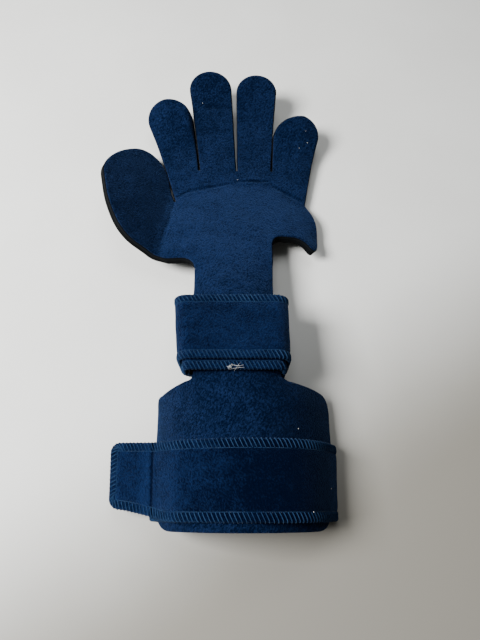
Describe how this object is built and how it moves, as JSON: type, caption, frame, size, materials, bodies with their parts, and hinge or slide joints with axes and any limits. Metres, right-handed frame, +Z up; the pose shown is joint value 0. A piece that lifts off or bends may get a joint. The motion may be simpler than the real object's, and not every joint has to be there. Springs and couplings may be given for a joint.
{
  "type": "resting hand splint",
  "caption": "left-hand resting splint: a bent sheet of fabric-faced foam with finger and thumb pads, a wrist neck and a forearm trough, closed by wound straps",
  "frame": {"origin": "on the surface the splint rests on, under the middle of its bounding box", "axes": "+Y runs from the forearm end to the fingertips, +X to the little finger's side, +Z up, away from the hand"},
  "size_m": [0.1888, 0.4004, 0.0548],
  "materials": {
    "foam": "matte cut foam",
    "face_fabric": "napped",
    "strap_fabric": "napped, overlocked edges"
  },
  "bodies": {
    "root": {"foam_core": "foam", "face_fabric": "face_fabric", "forearm_strap": "strap_fabric", "wrist_strap": "strap_fabric"}
  },
  "joints": []
}
